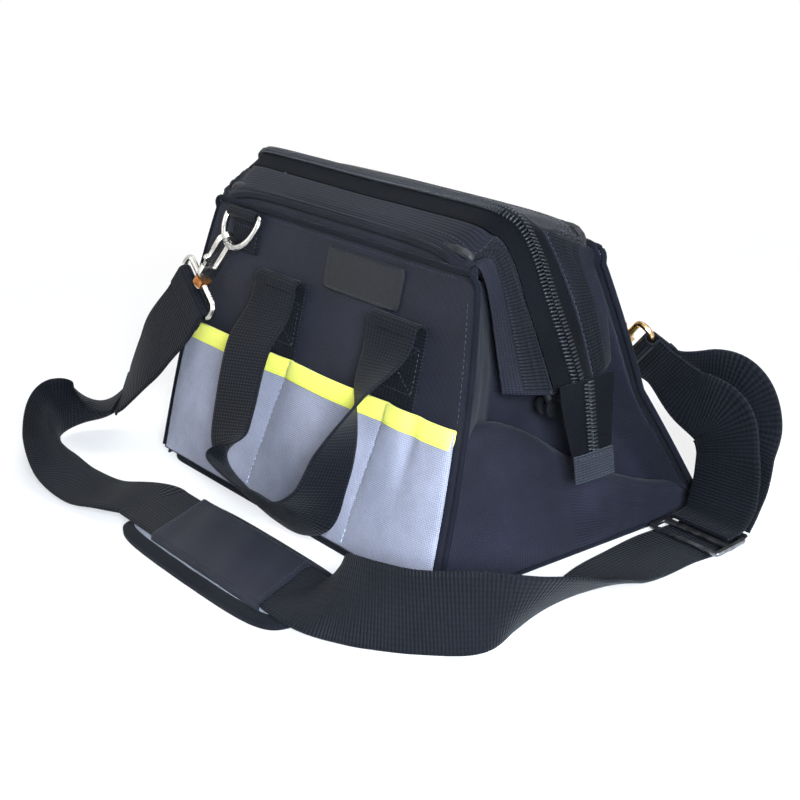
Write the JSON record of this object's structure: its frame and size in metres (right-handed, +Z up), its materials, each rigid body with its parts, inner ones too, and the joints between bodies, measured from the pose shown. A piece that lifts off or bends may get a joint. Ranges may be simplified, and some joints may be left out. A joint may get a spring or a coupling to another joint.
{
  "type": "zippered tool bag",
  "caption": "Wide-mouth soft tool bag with a hinged frame that a zip closes over, outside pockets, carry handles and a hooked shoulder strap with a sliding pad.",
  "frame": {"origin": "centre of the flat base, on the floor", "axes": "+X along the bag's length towards its right end, +Y from the patched front panel towards the rear panel, +Z up"},
  "size_m": [0.5048, 0.3648, 0.2184],
  "materials": {
    "canvas": "woven, matt",
    "pocket_canvas": "woven, matt",
    "binding": "woven tape",
    "piping": "woven tape over cord",
    "webbing": "ribbed webbing",
    "board": "matt sheet",
    "zip_tape": "woven tape",
    "zip_coil": "satin coil",
    "frame_wire": "drawn wire",
    "silver_metal": "bright plate",
    "gold_metal": "bright plate",
    "tail": "matt, flexible",
    "glide": "satin, moulded",
    "patch": "matt, moulded",
    "pad": "padded mesh"
  },
  "bodies": {
    "bag_base": {"base_skin": "canvas", "base_board": "board", "base_piping": "piping", "gusset_foot_left": "canvas", "gusset_foot_right": "canvas", "gusset_fold_left": "canvas", "gusset_fold_right": "canvas", "strap_front_drop": "webbing", "strap_front_floor": "webbing", "strap_side": "webbing", "strap_rear_outer": "webbing", "strap_rear_inner": "webbing"},
    "front_side": {"front_panel": "canvas", "front_panel_piping": "piping", "front_pocket": "pocket_canvas", "front_pocket_binding": "binding", "front_handle_foot_left": "webbing", "front_handle_foot_right": "webbing", "front_ring_tab": "webbing", "front_patch": "patch", "front_gusset_left": "canvas", "front_gusset_right": "canvas"},
    "rear_side": {"rear_panel": "canvas", "rear_panel_piping": "piping", "rear_pocket": "pocket_canvas", "rear_pocket_binding": "binding", "rear_handle_foot_left": "webbing", "rear_handle_foot_right": "webbing", "rear_ring_tab": "webbing", "rear_gusset_left": "canvas", "rear_gusset_right": "canvas"},
    "front_grip": {"front_handle": "webbing"},
    "rear_grip": {"rear_handle": "webbing"},
    "frame_pins": {"frame_rivet_left": "frame_wire", "frame_rivet_right": "frame_wire", "zip_tail_left": "tail", "zip_tail_right": "tail"},
    "front_mouth": {"front_frame": "frame_wire", "front_trim": "canvas", "front_zip_tape": "zip_tape", "front_zip_coil": "zip_coil"},
    "rear_mouth": {"rear_frame": "frame_wire", "rear_trim": "canvas", "rear_zip_tape": "zip_tape", "rear_zip_coil": "zip_coil"},
    "slider": {"zip_slider": "silver_metal"},
    "pull": {"zip_pull": "silver_metal"},
    "front_d_ring": {"front_ring": "silver_metal"},
    "front_snap": {"front_hook": "silver_metal"},
    "front_gate": {"front_hook_gate": "silver_metal"},
    "front_turn": {"front_swivel": "gold_metal", "front_strap_end": "webbing"},
    "rear_d_ring": {"rear_ring": "silver_metal"},
    "rear_snap": {"rear_hook": "gold_metal"},
    "rear_gate": {"rear_hook_gate": "gold_metal"},
    "rear_turn": {"rear_swivel": "gold_metal", "rear_strap_end": "webbing"},
    "glide": {"strap_glide": "glide"},
    "pad": {"shoulder_pad": "pad", "pad_sleeve": "pad"}
  },
  "joints": [
    {"name": "frame_rise", "type": "slide", "parent": "bag_base", "child": "frame_pins", "axis": [0, 0.074, 0.9973], "range_m": [0, 0.105]},
    {"name": "front_mouth_fold", "type": "hinge", "parent": "frame_pins", "child": "front_mouth", "pos_m": [0, -0.0079, 0.0965], "axis": [1, 0, 0], "range_deg": [0, 66]},
    {"name": "rear_mouth_fold", "type": "hinge", "parent": "frame_pins", "child": "rear_mouth", "pos_m": [0, -0.0079, 0.0965], "axis": [-1, 0, 0], "range_deg": [0, 59.5]},
    {"name": "front_side_lean", "type": "hinge", "parent": "bag_base", "child": "front_side", "pos_m": [0, -0.107, 0], "axis": [1, 0, 0], "range_deg": [0, 16.2]},
    {"name": "rear_side_lean", "type": "hinge", "parent": "bag_base", "child": "rear_side", "pos_m": [0, 0.107, 0], "axis": [-1, 0, 0], "range_deg": [0, 20.5]},
    {"name": "front_handle_swing", "type": "hinge", "parent": "front_side", "child": "front_grip", "pos_m": [0, -0.07484, 0.14183], "axis": [-1, 0, 0], "range_deg": [0, 110]},
    {"name": "rear_handle_swing", "type": "hinge", "parent": "rear_side", "child": "rear_grip", "pos_m": [0, 0.06084, 0.1375], "axis": [1, 0, 0], "range_deg": [0, 110]},
    {"name": "zip_run", "type": "slide", "parent": "frame_pins", "child": "slider", "axis": [0.0698, 0, 0.9976], "range_m": [0, 0.024]},
    {"name": "zip_pull_swing", "type": "hinge", "parent": "slider", "child": "pull", "pos_m": [-0.18768, 0.0015, 0.07127], "axis": [0, 1, 0], "range_deg": [0, 150]},
    {"name": "front_ring_swing", "type": "hinge", "parent": "front_side", "child": "front_d_ring", "pos_m": [-0.104, -0.05709, 0.17926], "axis": [-1, 0, 0], "range_deg": [0, 100]},
    {"name": "front_hook_swing", "type": "hinge", "parent": "front_d_ring", "child": "front_snap", "pos_m": [-0.11386, -0.06792, 0.16064], "axis": [-0.8387, 0.161, 0.5203], "range_deg": [0, 70], "deforming": ["strap_front_drop"]},
    {"name": "front_gate_press", "type": "hinge", "parent": "front_snap", "child": "front_gate", "pos_m": [-0.12577, -0.0788, 0.14481], "axis": [-0.8387, 0.161, 0.5203], "range_deg": [0, 20], "stiffness_Nm_per_rad": 0.05, "springref_deg": -5.73},
    {"name": "front_swivel_turn", "type": "hinge", "parent": "front_snap", "child": "front_turn", "pos_m": [-0.11386, -0.06792, 0.16064], "axis": [0.5443, 0.2811, 0.7904], "range_deg": [-10, 4]},
    {"name": "rear_ring_swing", "type": "hinge", "parent": "rear_side", "child": "rear_d_ring", "pos_m": [0.098, 0.04955, 0.16], "axis": [1, 0, 0], "range_deg": [0, 100]},
    {"name": "rear_hook_swing", "type": "hinge", "parent": "rear_d_ring", "child": "rear_snap", "pos_m": [0.1085, 0.06105, 0.1422], "axis": [0.766, -0.2185, 0.6045], "range_deg": [0, 70], "deforming": ["strap_rear_outer", "strap_rear_inner"]},
    {"name": "rear_gate_press", "type": "hinge", "parent": "rear_snap", "child": "rear_gate", "pos_m": [0.12255, 0.07211, 0.12839], "axis": [0.766, -0.2185, 0.6045], "range_deg": [0, 20], "stiffness_Nm_per_rad": 0.05, "springref_deg": -5.73},
    {"name": "rear_swivel_turn", "type": "hinge", "parent": "rear_snap", "child": "rear_turn", "pos_m": [0.1085, 0.06105, 0.1422], "axis": [-0.6424, -0.293, 0.7081], "range_deg": [-15, 8]},
    {"name": "glide_slide", "type": "slide", "parent": "bag_base", "child": "glide", "axis": [0, 1, 0], "range_m": [-0.02, 0]},
    {"name": "pad_slide", "type": "slide", "parent": "bag_base", "child": "pad", "axis": [1, 0, 0], "range_m": [-0.02, 0]}
  ],
  "couplings": [
    {"joint": "frame_rise", "follows": "front_mouth_fold", "m_per_rad": 0.0905},
    {"joint": "rear_mouth_fold", "follows": "front_mouth_fold", "ratio": 0.9},
    {"joint": "front_side_lean", "follows": "front_mouth_fold", "ratio": 0.2441},
    {"joint": "rear_side_lean", "follows": "front_mouth_fold", "ratio": 0.31}
  ]
}
